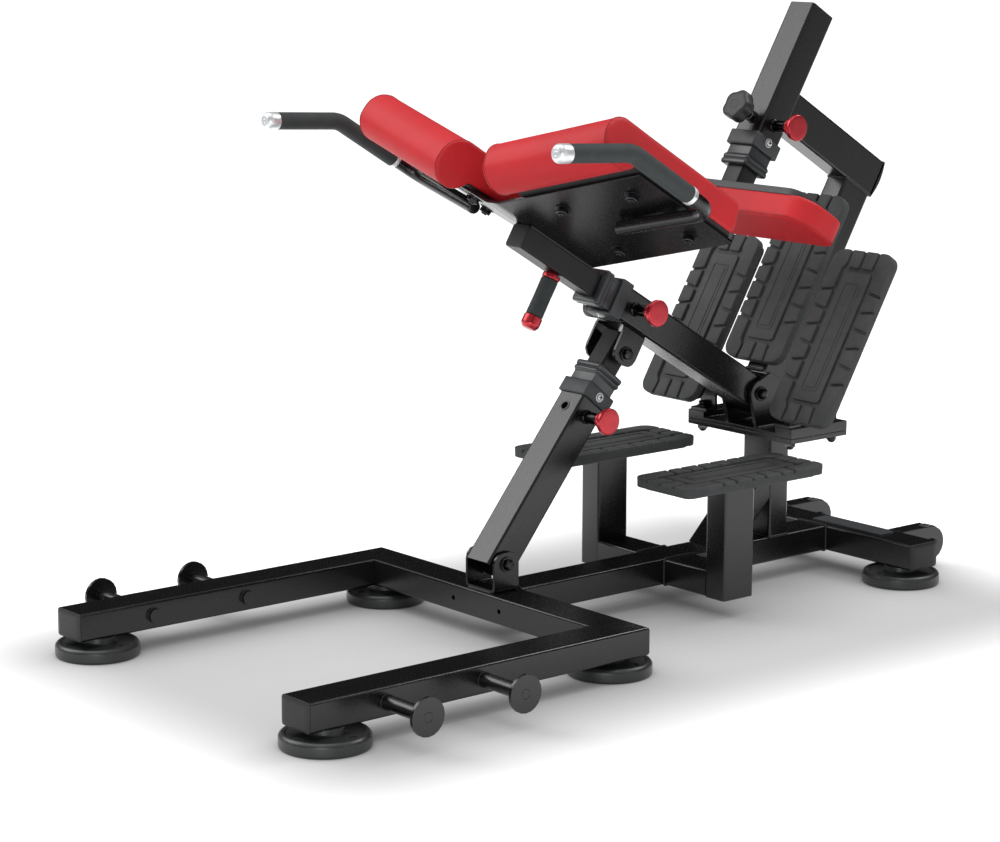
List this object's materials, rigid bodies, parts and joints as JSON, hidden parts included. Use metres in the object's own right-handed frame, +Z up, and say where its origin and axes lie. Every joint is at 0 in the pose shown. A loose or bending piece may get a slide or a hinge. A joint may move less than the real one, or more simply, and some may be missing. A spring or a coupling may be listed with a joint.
{
  "type": "hyperextension bench",
  "caption": "Adjustable hyperextension bench: low black tube base, telescoping tilting beam with split red hip pads and side handles, leaning tower with foot plates and a red leg pad.",
  "frame": {"origin": "on the floor, under the middle of the bounding box", "axes": "+Z up, +Y towards the rear crossbar and the transport wheels, +X towards the side of the pull knobs"},
  "size_m": [0.9702, 1.7268, 1.1196],
  "materials": {
    "frame_paint": "black satin powder coat",
    "collar_plastic": "dark grey moulded plastic",
    "bush_plastic": "black moulded plastic",
    "tread_rubber": "dark grey moulded rubber",
    "foot_rubber": "dark grey rubber",
    "wheel_nylon": "black nylon",
    "grip_rubber": "black ribbed rubber",
    "knob_plastic": "black moulded plastic",
    "red_vinyl": "red upholstery vinyl",
    "red_metal": "red anodised",
    "bolt_steel": "black oxide"
  },
  "bodies": {
    "bench_frame": {"base_arm_near": "frame_paint", "base_arm_far": "frame_paint", "base_cross_tube": "frame_paint", "base_spine": "frame_paint", "rear_crossbar": "frame_paint", "foot_front_near": "foot_rubber", "foot_front_far": "foot_rubber", "foot_corner_near": "foot_rubber", "foot_corner_far": "foot_rubber", "foot_rear_near": "foot_rubber", "foot_rear_far": "foot_rubber", "wheel_fork_near": "frame_paint", "wheel_fork_far": "frame_paint", "step_support_near": "frame_paint", "step_support_far": "frame_paint", "step_tread_near": "tread_rubber", "step_tread_far": "tread_rubber", "rear_post": "frame_paint", "rear_brace": "frame_paint", "tower_base": "frame_paint", "tower_post": "frame_paint", "tower_arm": "frame_paint", "leg_post_outer": "frame_paint", "leg_collar": "collar_plastic", "leg_bush": "bush_plastic", "foot_plate_near": "tread_rubber", "foot_plate_centre": "tread_rubber", "foot_plate_far": "tread_rubber", "foot_plate_bracket_near": "frame_paint", "foot_plate_bracket_far": "frame_paint", "beam_pivot_bolt": "bolt_steel", "strut_lower_bolt": "bolt_steel"},
    "beam": {"beam_outer": "frame_paint", "beam_collar": "collar_plastic", "beam_bush": "bush_plastic", "strut_upper_bolt": "bolt_steel"},
    "pad_carriage": {"beam_inner": "frame_paint", "pad_plate": "frame_paint", "hip_pad_near": "red_vinyl", "hip_pad_far": "red_vinyl", "handle_bar_near": "frame_paint", "handle_bar_far": "frame_paint", "handle_grip_near": "grip_rubber", "handle_grip_far": "grip_rubber", "adjust_handle": "red_metal", "adjust_grip": "grip_rubber"},
    "beam_pin": {"beam_pull_pin": "red_metal"},
    "beam_knob": {"beam_tension_knob": "knob_plastic"},
    "strut_lower": {"strut_outer": "frame_paint", "strut_collar": "collar_plastic", "strut_bush": "bush_plastic"},
    "strut_upper": {"strut_inner": "frame_paint"},
    "strut_pin": {"strut_pull_pin": "red_metal"},
    "leg_carriage": {"leg_post_inner": "frame_paint", "leg_pad": "red_vinyl"},
    "leg_pin": {"leg_pull_pin": "red_metal"},
    "leg_knob": {"leg_tension_knob": "knob_plastic"},
    "wheel_near": {"transport_wheel_near": "wheel_nylon"},
    "wheel_far": {"transport_wheel_far": "wheel_nylon"}
  },
  "joints": [
    {"name": "beam_pivot", "type": "hinge", "parent": "bench_frame", "child": "beam", "pos_m": [0, 0.4676, 0.3778], "axis": [-1, 0, 0], "range_deg": [0, 14]},
    {"name": "beam_slide", "type": "slide", "parent": "beam", "child": "pad_carriage", "axis": [0, -0.8572, 0.515], "range_m": [0, 0.12]},
    {"name": "strut_pivot", "type": "hinge", "parent": "bench_frame", "child": "strut_lower", "pos_m": [0, -0.1669, 0.1388], "axis": [1, 0, 0], "range_deg": [0, 2.6]},
    {"name": "strut_slide", "type": "slide", "parent": "strut_lower", "child": "strut_upper", "axis": [0, 0.6262, 0.7796], "range_m": [0, 0.088]},
    {"name": "leg_pad_slide", "type": "slide", "parent": "bench_frame", "child": "leg_carriage", "axis": [0, -0.515, -0.8572], "range_m": [0, 0.12]},
    {"name": "beam_pin_pull", "type": "slide", "parent": "beam", "child": "beam_pin", "axis": [1, 0, 0], "range_m": [0, 0.012], "stiffness_N_per_m": 2000, "springref_m": -0.003},
    {"name": "strut_pin_pull", "type": "slide", "parent": "strut_lower", "child": "strut_pin", "axis": [1, 0, 0], "range_m": [0, 0.012], "stiffness_N_per_m": 2000, "springref_m": -0.003},
    {"name": "leg_pin_pull", "type": "slide", "parent": "bench_frame", "child": "leg_pin", "axis": [1, 0, 0], "range_m": [0, 0.012], "stiffness_N_per_m": 2000, "springref_m": -0.003},
    {"name": "beam_knob_turn", "type": "hinge", "parent": "beam", "child": "beam_knob", "pos_m": [-0.0317, 0.14745, 0.57017], "axis": [-1, 0, 0], "range_deg": [0, 360]},
    {"name": "leg_knob_turn", "type": "hinge", "parent": "bench_frame", "child": "leg_knob", "pos_m": [0, 0.47149, 0.9057], "axis": [0, -0.8572, 0.515], "range_deg": [0, 360]},
    {"name": "wheel_near_spin", "type": "hinge", "parent": "bench_frame", "child": "wheel_near", "pos_m": [0.154, 0.8284, 0.052], "axis": [1, 0, 0], "continuous": true},
    {"name": "wheel_far_spin", "type": "hinge", "parent": "bench_frame", "child": "wheel_far", "pos_m": [-0.154, 0.8284, 0.052], "axis": [1, 0, 0], "continuous": true}
  ],
  "couplings": [
    {"joint": "strut_pivot", "follows": "beam_pivot", "ratio": 0.18048},
    {"joint": "strut_slide", "follows": "beam_pivot", "m_per_rad": 0.357}
  ]
}
